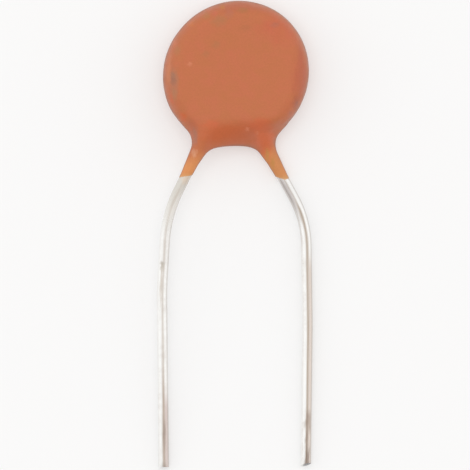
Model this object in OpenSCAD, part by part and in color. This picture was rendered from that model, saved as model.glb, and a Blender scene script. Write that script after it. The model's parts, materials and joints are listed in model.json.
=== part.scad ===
// Ceramic disc capacitor with two radial leads, lying on the back of its coat.
// The origin is the disc's centre on the surface that it lies on. The leads run along -Y.
// Values in pairs are for the left lead or leg and then for the right one.

/* [Coated disc] */
// Mean diameter of the coated disc
body_d = 7.6; // [7:0.1:9]
// How much more the disc measures along its long direction than across it
oval_d = 0.33; // [0:0.03:0.6]
// Turn of the long direction from the X axis, in degrees
oval_turn = 47; // [0:1:180]
// Width of the round rim beside the flat faces
rim_w = 0.8; // [0.5:0.05:1]
// Coat beside the edge of the ceramic disc
edge_cover = 0.7; // [0.5:0.05:0.9]
// Coat over the crown of each lead where it lies on the disc
face_cover = 0.24; // [0.15:0.01:0.5]

/* [Web and legs of the coat] */
// How far the edge of the web stands above the disc's lowest point
web_rise = 0.05; // [-0.3:0.05:0.2]
// Length of the slope from the flat face to the edge of the web
web_run = 1.44; // [1:0.02:1.8]
// Fullness of that slope: 1 is straight and 2 is round
web_fullness = 1.8; // [1.4:0.1:2]
// Radius of the web's bowed edge
web_bow_r = 5; // [4:0.2:9]
// Radius of the corners between the web and the legs
corner_r = [1.2, 1.2]; // [0.8:0.1:1.6]
// Radius of the necks between the disc and the legs
neck_r = [0.9, 1.1]; // [0.6:0.05:1.4]
// How far each leg runs down its lead past the disc
leg_run = [1.5, 1.6]; // [1.3:0.05:3]
// Coat on the wire where a leg ends
leg_cover = 0.02; // [0.02:0.005:0.1]
// Flare of a leg's outer edge from the wire, in degrees
outer_flare = 4.3; // [2:0.1:6]
// Flare of a leg's inner edge from the wire, in degrees
inner_flare = 3.4; // [2:0.1:8]

/* [Leads] */
// Distance between the straight runs of the leads
lead_pitch = 7.5; // [7:0.1:9]
// Diameter of the tinned wire
wire_d = 0.55; // [0.45:0.05:0.65]
// Length of the leads below the disc
lead_length = 16.6; // [14:0.2:30]
// Where each slanted stretch would meet the centre line, below the disc's centre
aim_drop = [0, 0.95]; // [0:0.05:1]
// Distance of the inner end of each wire below the disc's centre
seat_drop = 0.9; // [0.6:0.1:1.2]
// Distance of each shoulder bend below the disc
shoulder_gap = [3.53, 3.76]; // [3.3:0.02:4.5]
// Radius of each shoulder bend at the wire's axis
shoulder_r = [7, 5.4]; // [4:0.1:7.4]
// How far each shoulder stands inside its half of the pitch
shoulder_in = [0.14, 0.12]; // [-0.2:0.02:0.3]
// Distance of the slight lower bend of each lead below the disc
kink_gap = [7.33, 9.1]; // [7.2:0.02:10]
// How far that bend stands inside its half of the pitch
kink_in = [-0.09, 0.04]; // [-0.2:0.01:0.2]
// Radius of that bend at the wire's axis
kink_r = 18; // [8:1:20]
// How far each tip stands inside its half of the pitch
tip_in = [0, 0.13]; // [-0.2:0.01:0.3]
// Slant of the cut at each tip, in degrees
cut_slant = [3, 14]; // [0:1:25]

/* [Ceramic disc and electrodes] */
// Thickness of the ceramic disc
ceramic_t = 1; // [0.6:0.1:1.6]
// Radius of the ceramic disc's worn edge
ceramic_edge_r = 0.1; // [0.05:0.01:0.2]
// Bare ceramic left around each electrode
electrode_margin = 0.35; // [0.2:0.05:0.5]
// Thickness of each electrode
electrode_t = 0.03; // [0.02:0.01:0.06]

/* [Solder] */
// Solder between each wire and its electrode
solder_film = 0.03; // [0.02:0.01:0.08]
// Width of each solder fillet
solder_w = 1.4; // [1.2:0.05:1.6]
// Height of each solder fillet above its electrode
solder_h = 0.45; // [0.4:0.01:0.5]
// Height of the solder at the edge of a fillet
solder_edge = 0.03; // [0.02:0.01:0.06]
// Bare electrode left between a fillet and the electrode's edge
solder_margin = 0.1; // [0.05:0.05:0.3]

/* [Hidden] */
$fn = 64;

LEFT = 0;
RIGHT = 1;
FRONT = 1;
BACK = -1;
// Which way each lead stands from the centre, and which face of the disc it is soldered to
hand = [-1, 1];
face = [FRONT, BACK];

body_r = body_d / 2;
wire_r = wire_d / 2;
ceramic_r = body_r - edge_cover;
electrode_r = ceramic_r - electrode_margin;

// Heights above the disc's middle plane
electrode_top = ceramic_t / 2 + electrode_t;
wire_height = electrode_top + solder_film + wire_r;
body_t = 2 * (wire_height + wire_r + face_cover);
mid_z = body_t / 2;

// ---- The leads' centre lines, with x counted outwards from the middle of the part ----

function unit(v) = v / norm(v);
function mix(a, b, t) = a + (b - a) * t;
function ease(t) = t * t * (3 - 2 * t);
function flip(s, p) = [hand[s] * p.x, p.y, p.z];

function half_pitch(s, inset) = lead_pitch / 2 - inset[s];
function shoulder_drop(s) = body_r + shoulder_gap[s];
// Turn of the slanted stretch from the leads' own direction
function splay(s) = atan2(half_pitch(s, shoulder_in), shoulder_drop(s) - aim_drop[s]);
// Direction of the slanted stretch, and the normal that points away from the other lead
function slant(s) = [sin(splay(s)), -cos(splay(s))];
function outward(s) = [cos(splay(s)), sin(splay(s))];
// The point of the slanted stretch's line at a distance t from the centre line
function on_slant(s, t) = [0, -aim_drop[s]] + slant(s) * t;
// The distance t of a drop below the disc's centre
function t_at(s, drop) = (drop - aim_drop[s]) / cos(splay(s));
// The distance t at which the slanted stretch leaves a circle around the disc's centre
function t_out(s, r) =
    let (foot = aim_drop[s] * cos(splay(s)), away = aim_drop[s] * sin(splay(s)))
    sqrt(r * r - away * away) - foot;

// Each wire leaves its electrode level, and starts down to its tip just past the ceramic
level_r = 2;
level_gap = 0.25;
function seat_z(s) = mid_z + face[s] * wire_height;
function seat_t(s) = t_at(s, seat_drop);
function level_t(s) = t_out(s, ceramic_r) + level_gap;
function level_drop(s) = -on_slant(s, level_t(s)).y;
tip_drop = body_r + lead_length;
// Height of a wire's axis at a drop, once it has left its electrode: a tip lies on the surface
function axis_z(s, drop) =
    let (run = (drop - level_drop(s)) / (tip_drop - level_drop(s)))
    mix(seat_z(s), wire_r, max(0, run));

function at_drop(s, inset, drop) = [half_pitch(s, inset), -drop, axis_z(s, drop)];
function route(s) = [
    let (p = on_slant(s, seat_t(s))) [p.x, p.y, seat_z(s)],
    let (p = on_slant(s, level_t(s))) [p.x, p.y, seat_z(s)],
    at_drop(s, shoulder_in, shoulder_drop(s)),
    at_drop(s, kink_in, body_r + kink_gap[s]),
    at_drop(s, tip_in, tip_drop)
];
function bend_radii(s) = [0, level_r, shoulder_r[s], kink_r, 0];

// ---- The wire: true cylinders joined by true elbows ----

// An elbow is this much thinner than the wire, and enters each cylinder by this length
elbow_ease = 0.002;
elbow_lap = 0.05;

function turn_at(a, b, c) = acos(unit(b - a) * unit(c - b));
// How far a bend of radius r takes up each side of its corner
function bend_take(path, radii, i) =
    radii[i] == 0 ? 0 : radii[i] * tan(turn_at(path[i - 1], path[i], path[i + 1]) / 2);

module stretch(a, b) {
    run = b - a;
    translate(a)
        rotate([0, acos(run.z / norm(run)), atan2(run.y, run.x)])
            cylinder(h = norm(run), r = wire_r);
}

module elbow(a, b, c, r) {
    turn = turn_at(a, b, c);
    lap = elbow_lap / r * 180 / PI;
    ahead = unit(b - a);
    axis = unit(cross(ahead, unit(c - b)));
    out = cross(ahead, axis);
    centre = b - ahead * r * tan(turn / 2) - out * r;
    multmatrix([
        [out.x, ahead.x, axis.x, centre.x],
        [out.y, ahead.y, axis.y, centre.y],
        [out.z, ahead.z, axis.z, centre.z]
    ])
        rotate([0, 0, -lap])
            rotate_extrude(angle = turn + 2 * lap)
                translate([r, 0])
                    circle(r = wire_r - elbow_ease);
}

module wire(path, radii) {
    last = len(path) - 1;
    for (i = [0:last - 1]) {
        along = unit(path[i + 1] - path[i]);
        stretch(
            path[i] + along * bend_take(path, radii, i),
            path[i + 1] - along * bend_take(path, radii, i + 1)
        );
    }
    for (i = [1:last - 1])
        elbow(path[i - 1], path[i], path[i + 1], radii[i]);
}

module lead(s) {
    path = [for (p = route(s)) flip(s, p)];
    tip = path[len(path) - 1];
    cutter = 4 * wire_d;
    difference() {
        wire(path, bend_radii(s));
        translate([tip.x, tip.y + wire_r * tan(cut_slant[s]), tip.z])
            rotate([0, 0, hand[s] * cut_slant[s]])
                translate([-cutter / 2, -cutter, -cutter / 2])
                    cube(cutter);
    }
}

// ---- The ceramic disc, its electrodes and the solder ----

module ceramic() {
    e = ceramic_edge_r;
    translate([0, 0, mid_z - ceramic_t / 2])
        rotate_extrude() {
            square([ceramic_r - e, ceramic_t]);
            translate([0, e]) square([ceramic_r, ceramic_t - 2 * e]);
            for (y = [e, ceramic_t - e])
                translate([ceramic_r - e, y]) circle(r = e);
        }
}

// Places a child that stands on the front of the disc on either of its faces
module on_face(f) {
    translate([0, 0, mid_z])
        mirror([0, 0, f == BACK ? 1 : 0])
            children();
}

module electrode(f) {
    on_face(f)
        translate([0, 0, ceramic_t / 2])
            cylinder(h = electrode_t, r = electrode_r);
}

// Half of a fillet's section: the hollow flank runs from the wire down to the electrode
module fillet_section() {
    difference() {
        square([solder_w / 2, solder_h]);
        translate([solder_w / 2, solder_h]) circle(r = solder_h - solder_edge);
    }
}

// A lead's solder, with no room cut for the wire
module solder_form(s) {
    start = flip(s, [on_slant(s, seat_t(s)).x, on_slant(s, seat_t(s)).y, electrode_top]);
    bar = t_out(s, electrode_r) - solder_margin - solder_w / 2 - seat_t(s);
    on_face(face[s])
        translate(start)
            rotate([0, 0, hand[s] == 1 ? splay(s) - 90 : -90 - splay(s)]) {
                rotate([90, 0, 90])
                    linear_extrude(bar) {
                        fillet_section();
                        mirror([1, 0]) fillet_section();
                    }
                rotate([0, 0, 90])
                    rotate_extrude(angle = 180) fillet_section();
                translate([bar, 0, 0])
                    rotate([0, 0, -90])
                        rotate_extrude(angle = 180) fillet_section();
            }
}

module solder(s) {
    difference() {
        solder_form(s);
        lead(s);
    }
}

// ---- The coat: rings of points between its outline and a spine of flats and ridges ----

// Steps from the outline to the spine, and steps along each stretch of the outline
rings = 8;
web_steps = 8;
leg_steps = 4;
rise_steps = 8;
neck_steps = 5;
disc_steps = 32;
// Degrees between the points of an arc
arc_degrees = 3;
// Share of the crotch and of the neck that faces the ridge where it climbs to the flat
crotch_share = 0.36;
neck_share = 0.55;

web_y = -(body_r - web_rise);
flat_y = web_y + web_run;

function arc(centre, r, from, to) =
    let (n = ceil(abs(to - from) / arc_degrees))
    [for (i = [0:n]) let (a = mix(from, to, i / n)) centre + r * [cos(a), sin(a)]];

// Running length of a path of points, and the point at a share of it
function lengths(path) = [
    for (i = 0, d = 0; i < len(path); d = d + (i + 1 < len(path) ? norm(path[i + 1] - path[i]) : 0),
        i = i + 1) d
];
function at_share(path, share) =
    let (d = lengths(path), n = len(path) - 1, at = share * d[n])
    [
        lookup(at, [for (i = [0:n]) [d[i], path[i].x]]),
        lookup(at, [for (i = [0:n]) [d[i], path[i].y]])
    ];

// Radius of the coated disc in a direction, in degrees from a side's outward X axis
function disc_r(s, angle) =
    let (
        a = (s == RIGHT ? angle : 180 - angle) - oval_turn,
        long = body_r + oval_d / 4,
        short = body_r - oval_d / 4
    )
    long * short / norm([short * cos(a), long * sin(a)]);
function disc_point(s, angle, inset) = (disc_r(s, angle) - inset) * [cos(angle), sin(angle)];

leg_end_r = wire_r + leg_cover;
function leg_end_t(s) = t_at(s, body_r + leg_run[s]);
// Half width of a leg towards a flare, at a distance t along the lead
function leg_w(s, t, flare) = leg_end_r + (leg_end_t(s) - t) * tan(flare);

// Where a line from a point meets a circle around the origin: nearer or farther along it
NEARER = -1;
FARTHER = 1;
function on_circle(from, along, r, which) =
    let (back = from * along)
    from + along * (-back + which * sqrt(back * back - from * from + r * r));
function angle_of(p) = atan2(p.y, p.x);

// Centre of a round neck that touches the disc and the leg's outer edge carried up as a line
function neck_centre(s, disc) =
    let (
        r = neck_r[s],
        up = -slant(s) * cos(outer_flare) + outward(s) * sin(outer_flare),
        away = outward(s) * cos(outer_flare) + slant(s) * sin(outer_flare),
        start = on_slant(s, leg_end_t(s)) + outward(s) * leg_end_r + away * r
    )
    on_circle(start, up, disc + r, NEARER);
function neck_fit(s) =
    let (rough = neck_centre(s, disc_r(s, angle_of(neck_centre(s, body_r)))))
    neck_centre(s, disc_r(s, angle_of(rough)));

// The neck's arc, from the leg up to the disc
function neck_arc(s) =
    let (c = neck_fit(s), start = 180 + splay(s) - outer_flare)
    arc(c, neck_r[s], start, 180 + angle_of(c));

// Centre of a corner that touches the leg's inner edge and the bowed edge of the web
bow_centre = [0, web_y - web_bow_r];
function corner_centre(s) =
    let (
        r = corner_r[s],
        up = -slant(s) * cos(inner_flare) - outward(s) * sin(inner_flare),
        away = slant(s) * sin(inner_flare) - outward(s) * cos(inner_flare),
        start = on_slant(s, leg_end_t(s)) - outward(s) * leg_end_r + away * r
    )
    bow_centre + on_circle(start - bow_centre, up, web_bow_r - r, FARTHER);
function bow_start(s) = angle_of(corner_centre(s) - bow_centre);

// The corner's arc, from the leg up, and the web's edge from there to the middle of the part
function corner_arc(s) = arc(corner_centre(s), corner_r[s], splay(s) + inner_flare, bow_start(s));
function web_arc(s) = arc(bow_centre, web_bow_r, bow_start(s), 90);

// Where the legs' straight edges give way to the neck and to the corner
function along_slant(s, p) = (p - on_slant(s, 0)) * slant(s);
function joint_t(s) =
    max(along_slant(s, neck_arc(s)[0]), along_slant(s, corner_arc(s)[0])) + leg_cover;
function joint_out(s) =
    on_slant(s, joint_t(s)) + outward(s) * leg_w(s, joint_t(s), outer_flare);
function joint_in(s) =
    on_slant(s, joint_t(s)) - outward(s) * leg_w(s, joint_t(s), inner_flare);
function neck_path(s) = concat([joint_out(s)], neck_arc(s));
function crotch_path(s) =
    let (edge = web_arc(s))
    concat([joint_in(s)], corner_arc(s), [for (i = [1:len(edge) - 1]) edge[i]]);

// Heights of the coat over any point: of its outline there, and of its top and bottom where
// the round edge ends. They are the disc's as far as the flat, and the leg's from the joint
// down, where the coat still goes no lower than the surface that the disc lies on
flat_drop = -flat_y;
joint = [for (s = [LEFT, RIGHT]) joint_t(s)];
joint_drop = [for (s = [LEFT, RIGHT]) -on_slant(s, joint[s]).y];
leg_flare = (outer_flare + inner_flare) / 2;

function share_of(x, from, to) = max(0, min(1, (x - from) / (to - from)));
function side_heights(s, p) =
    let (
        q = [hand[s] * p.x, p.y],
        own_drop = -on_slant(s, along_slant(s, q)).y,
        drop = mix(-q.y, own_drop, share_of(-q.y, flat_drop, joint_drop[s])),
        b = ease(share_of(drop, flat_drop, joint_drop[s])),
        z = axis_z(s, drop),
        h = leg_w(s, max(t_at(s, drop), joint[s]), leg_flare)
    )
    [mix(mid_z, z, b), mix(body_t, z + h, b), mix(0, max(0, z - h), b)];
function heights(p) =
    let (x = on_slant(RIGHT, joint[RIGHT]).x, w = ease(share_of(p.x, -x, x)))
    w == 0 ? side_heights(LEFT, p)
    : w == 1 ? side_heights(RIGHT, p)
    : mix(side_heights(LEFT, p), side_heights(RIGHT, p), w);

// A station: a point of the outline, its mate on the spine, and the width and the fullness of
// the round edge there. Along a lead the spine is the lead's line, and elsewhere the flat's edge
function ridge_t(s) = t_at(s, flat_drop);
function web_stations(s) = [
    for (i = [0:web_steps - 1])
        let (v = i / web_steps)
        [
            at_share(crotch_path(s), 1 - v * (1 - crotch_share)),
            [on_slant(s, ridge_t(s)).x * v, flat_y],
            web_run, web_fullness
        ]
];
// The part of a side between its leg and the flat, from the leg upwards
function rise_stations(s, path, path_share, width, fullness) = [
    for (k = [1:rise_steps])
        let (v = k / rise_steps)
        [
            at_share(path, v * path_share),
            on_slant(s, mix(joint[s], ridge_t(s), v)),
            mix(norm(path[0] - on_slant(s, joint[s])), width, v),
            mix(2, fullness, ease(v))
        ]
];
function leg_stations(s, flare, way) = [
    for (k = [0:leg_steps])
        let (t = mix(leg_end_t(s), joint[s], k / leg_steps), p = on_slant(s, t))
        [p + way * outward(s) * leg_w(s, t, flare), p, leg_w(s, t, flare), 2]
];
function neck_stations(s) =
    let (
        from = on_slant(s, ridge_t(s)),
        to = disc_point(s, angle_of(neck_fit(s)), rim_w)
    )
    [
        for (k = [1:neck_steps])
            let (v = k / neck_steps)
            [at_share(neck_path(s), mix(neck_share, 1, v)), mix(from, to, v), rim_w, 2]
    ];
function disc_stations(s) =
    let (from = angle_of(neck_fit(s)))
    [
        for (k = [1:disc_steps])
            let (a = mix(from, 90, k / disc_steps))
            [disc_point(s, a, 0), disc_point(s, a, rim_w), rim_w, 2]
    ];
function backwards(list) = [for (i = [len(list) - 1:-1:0]) list[i]];
function side_stations(s) = concat(
    web_stations(s),
    backwards(concat(
        leg_stations(s, inner_flare, -1),
        rise_stations(s, crotch_path(s), crotch_share, web_run, web_fullness)
    )),
    leg_stations(s, outer_flare, 1),
    rise_stations(s, neck_path(s), neck_share, rim_w, 2),
    neck_stations(s),
    disc_stations(s)
);

// Numbers of the stations: a side's spine meets itself along the leg and the rise
ridge_steps = leg_steps + rise_steps;
side_last = web_steps + 2 * ridge_steps + 1 + neck_steps + disc_steps;
loop_n = 2 * side_last;
function side_number(g) = g <= side_last ? g : loop_n - g;
function is_inner(i) = i >= web_steps && i <= web_steps + ridge_steps;
function twin(g) =
    let (t = 2 * (web_steps + ridge_steps) + 1 - side_number(g))
    g <= side_last ? t : loop_n - t;
// Stations whose mates bound the flat face
function on_rim(i) = i < web_steps || i > web_steps + 2 * ridge_steps;

// Number of the point at a station, a ring and a side of the coat (0 top, 1 bottom)
function spot(station, ring, under) =
    let (g = station % loop_n)
    ring == 0 ? g
    : loop_n * (ring + under * rings)
        + (ring == rings && is_inner(side_number(g)) ? twin(g) : g);

module coat_skin() {
    left = side_stations(LEFT);
    right = side_stations(RIGHT);
    stations = [
        for (g = [0:loop_n - 1])
            let (
                s = g <= side_last ? LEFT : RIGHT,
                own = (s == LEFT ? left : right)[side_number(g)]
            )
            concat([hand[s]], own)
    ];
    function point(st, ring, under) =
        let (
            inward = 1 - cos(90 * ring / rings),
            edge = share_of(inward * norm(st[2] - st[1]), 0, st[3]),
            lift = pow(1 - pow(1 - edge, st[4]), 1 / st[4]),
            mate = mix(st[1], st[2], inward),
            p = [st[0] * mate.x, mate.y],
            z = heights(p)
        )
        [p.x, p.y, mix(z[0], z[1 + under], lift)];
    flat_centres = [[0, 0, body_t], [0, 0, 0]];
    points = concat(
        [for (st = stations) point(st, 0, 0)],
        [for (under = [0, 1], ring = [1:rings], st = stations) point(st, ring, under)],
        flat_centres
    );
    // Four-sided patches are split along their shorter diagonal
    function patch(a, b, c, d) =
        norm(points[a] - points[c]) <= norm(points[b] - points[d])
            ? [[a, b, c], [a, c, d]] : [[a, b, d], [b, c, d]];
    bands = [
        for (g = [0:loop_n - 1], ring = [0:rings - 1], under = [0, 1])
            let (
                a = spot(g, ring, under), b = spot(g + 1, ring, under),
                c = spot(g + 1, ring + 1, under), d = spot(g, ring + 1, under),
                tris = c == d ? [[a, b, c]] : patch(a, b, c, d)
            )
            each [for (t = tris) under == 1 ? [t[2], t[1], t[0]] : t]
    ];
    rim = [for (g = [0:loop_n - 1]) if (on_rim(side_number(g))) g];
    flats = [
        for (i = [0:len(rim) - 1], under = [0, 1])
            let (
                a = spot(rim[i], rings, under),
                b = spot(rim[(i + 1) % len(rim)], rings, under),
                centre = len(points) - len(flat_centres) + under
            )
            under == 1 ? [b, a, centre] : [a, b, centre]
    ];
    polyhedron(points = points, faces = concat(bands, flats), convexity = 6);
}

// ---- Nodes ----

module coating() {
    color("peru")
        difference() {
            coat_skin();
            ceramic();
            for (f = [FRONT, BACK]) electrode(f);
            for (s = [LEFT, RIGHT]) solder_form(s);
            for (s = [LEFT, RIGHT]) lead(s);
        }
}

module ceramic_disc() {
    color("tan") ceramic();
}

module front_electrode() {
    color("silver") electrode(FRONT);
}

module back_electrode() {
    color("silver") electrode(BACK);
}

module left_lead() {
    color("lightgray") lead(LEFT);
}

module right_lead() {
    color("lightgray") lead(RIGHT);
}

module front_solder() {
    color("darkgray") solder(LEFT);
}

module back_solder() {
    color("darkgray") solder(RIGHT);
}

coating();
ceramic_disc();
front_electrode();
back_electrode();
left_lead();
right_lead();
front_solder();
back_solder();
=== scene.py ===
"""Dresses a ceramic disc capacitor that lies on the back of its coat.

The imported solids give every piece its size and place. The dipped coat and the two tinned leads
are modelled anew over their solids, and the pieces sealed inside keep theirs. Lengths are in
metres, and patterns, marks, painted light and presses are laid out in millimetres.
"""

import json
import logging
import math
from dataclasses import dataclass, field
from enum import Enum
from typing import Any, Callable

import bpy
from bpy.types import Material, Node, NodeSocket, NodeTree, Object
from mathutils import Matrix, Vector
from mathutils.kdtree import KDTree

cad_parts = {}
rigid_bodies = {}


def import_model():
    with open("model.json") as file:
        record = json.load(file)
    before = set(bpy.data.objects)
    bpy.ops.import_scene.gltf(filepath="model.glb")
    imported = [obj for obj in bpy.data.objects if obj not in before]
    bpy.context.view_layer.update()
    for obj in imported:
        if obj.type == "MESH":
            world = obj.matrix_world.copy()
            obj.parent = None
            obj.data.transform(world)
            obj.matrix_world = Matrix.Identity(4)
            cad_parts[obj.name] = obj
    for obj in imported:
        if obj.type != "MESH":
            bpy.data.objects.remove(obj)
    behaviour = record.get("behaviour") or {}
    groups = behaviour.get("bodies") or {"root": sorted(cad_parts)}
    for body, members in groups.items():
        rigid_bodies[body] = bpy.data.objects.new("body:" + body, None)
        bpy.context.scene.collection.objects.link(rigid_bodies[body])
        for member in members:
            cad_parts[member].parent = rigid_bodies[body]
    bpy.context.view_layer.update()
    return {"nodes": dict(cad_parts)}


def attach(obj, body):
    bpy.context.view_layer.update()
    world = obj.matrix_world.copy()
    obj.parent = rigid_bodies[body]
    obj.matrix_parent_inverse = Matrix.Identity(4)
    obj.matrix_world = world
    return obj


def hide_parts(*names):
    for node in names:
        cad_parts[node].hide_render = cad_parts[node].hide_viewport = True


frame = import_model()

Colour = tuple[float, float, float]
Place = tuple[float, float, float]
Range = tuple[float, float]

MM = 0.001
WELD = 0.0001 * MM
ROOT = "root"
ORIGIN: Place = (0.0, 0.0, 0.0)
log = logging.getLogger("capacitor")


class Slot(Enum):
    """The record's material slots for the pieces that are modelled here."""

    COAT = "dipped_coat"
    WIRE = "tinned_wire"


class Side(Enum):
    """Which way a lead stands from the middle of the part."""

    LEFT = -1
    RIGHT = 1


class Face(Enum):
    """Which face of the disc a lead is soldered to."""

    FRONT = 1
    BACK = -1


def shown(red: float, green: float, blue: float) -> Colour:
    """Turns a colour as it shows on a screen, 0 to 255, into scene-linear values.

    Args:
        red: Red as shown.
        green: Green as shown.
        blue: Blue as shown.

    Returns:
        The linear red, green and blue, 0 to 1.
    """
    def linear(value: float) -> float:
        """Takes the screen's curve off one value."""
        share = value / 255
        return share / 12.92 if share <= 0.04045 else ((share + 0.055) / 1.055) ** 2.4

    return linear(red), linear(green), linear(blue)


# ---- Small helpers for modelling ----


def deselect_all() -> None:
    """Leaves edit mode and deselects every object."""
    if bpy.context.object and bpy.context.object.mode != "OBJECT":
        bpy.ops.object.mode_set(mode="OBJECT")
    bpy.ops.object.select_all(action="DESELECT")


def make_active(piece: Object) -> None:
    """Selects one object and makes it the active one.

    Args:
        piece: The object.
    """
    deselect_all()
    bpy.context.view_layer.objects.active = piece
    piece.select_set(True)


def edit(piece: Object) -> None:
    """Opens a piece in edit mode, set to pick vertices, with nothing selected.

    Args:
        piece: The mesh object.
    """
    make_active(piece)
    bpy.ops.object.mode_set(mode="EDIT")
    bpy.ops.mesh.select_mode(type="VERT")
    bpy.ops.mesh.select_all(action="DESELECT")


def close_edit() -> None:
    """Goes back to object mode."""
    bpy.ops.object.mode_set(mode="OBJECT")


def pick_vertices(piece: Object, wanted: Callable[[Vector], bool]) -> None:
    """Selects the vertices that a test accepts, in edit mode.

    Args:
        piece: The mesh object, open in edit mode and set to pick vertices.
        wanted: The test of a vertex's place.
    """
    bpy.ops.mesh.select_all(action="DESELECT")
    close_edit()
    for vertex in piece.data.vertices:
        vertex.select = wanted(vertex.co)
    bpy.ops.object.mode_set(mode="EDIT")


def close_openings() -> None:
    """Closes every open end of the mesh in edit mode, and turns its faces outwards."""
    bpy.ops.mesh.select_mode(type="EDGE")
    bpy.ops.mesh.select_all(action="DESELECT")
    bpy.ops.mesh.select_non_manifold(extend=False)
    bpy.ops.mesh.edge_face_add()
    bpy.ops.mesh.select_all(action="SELECT")
    bpy.ops.mesh.normals_make_consistent(inside=False)


def finish_modifier(piece: Object, name: str, kind: str, **settings: Any) -> None:
    """Adds a modifier to a piece and applies it.

    Args:
        piece: The mesh object.
        name: The modifier's name.
        kind: The modifier's type.
        **settings: Its settings by name.
    """
    modifier = piece.modifiers.new(name, kind)
    for key, value in settings.items():
        setattr(modifier, key, value)
    make_active(piece)
    bpy.ops.object.modifier_apply(modifier=name)


def smooth_by_angle(piece: Object, degrees: float) -> None:
    """Shades a piece smooth, except across edges sharper than an angle."""
    make_active(piece)
    bpy.ops.object.shade_smooth_by_angle(angle=math.radians(degrees))


@dataclass(frozen=True)
class Press:
    """A soft push on a small part of a surface. Lengths are in millimetres."""

    place: Place
    push: Place
    reach: float

    def apply(self, piece: Object) -> None:
        """Pushes the point nearest to the place, and what lies around it by less.

        Args:
            piece: The mesh object.
        """
        place = Vector(self.place) * MM
        nearest = min(piece.data.vertices, key=lambda vertex: (vertex.co - place).length).index
        edit(piece)
        close_edit()
        piece.data.vertices[nearest].select = True
        bpy.ops.object.mode_set(mode="EDIT")
        bpy.ops.transform.translate(
            value=Vector(self.push) * MM, use_proportional_edit=True,
            proportional_edit_falloff="SMOOTH", proportional_size=self.reach * MM,
        )
        close_edit()


# ---- Patterns, marks and painted light ----

NOISE_ROUGHNESS = 0.55
PLAIN_DETAIL = 2.0
SPOT_CORE = 0.2
RAG_SCALE = 1.7
RAG_GAIN = 4.0


class Effect(Enum):
    """The node groups that the finishes share, by name."""

    MOTTLE = "mottle"
    SPOT = "spot"
    STREAK = "streak"


class Socket(Enum):
    """The kinds of socket that a group may have."""

    VALUE = "NodeSocketFloat"
    VECTOR = "NodeSocketVector"


@dataclass(frozen=True)
class Patches:
    """Soft patches in a finish, with their size in millimetres.

    The softness is the share of the noise's range over which one tone gives way to the other.
    """

    size: float
    detail: float = PLAIN_DETAIL
    softness: float = 0.5


@dataclass(frozen=True)
class Streaks:
    """Streaks along a wire, with their width and length in millimetres, and their softness."""

    width: float
    length: float
    softness: float = 0.5


@dataclass(frozen=True)
class MarkOrPaintedLight:
    """A spot for marks and painted light: its place and reach in millimetres, and its colour."""

    centre: Place
    reach: Place
    colour: Colour
    strength: float
    ragged: float = 0.3


# ---- Node trees ----


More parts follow.
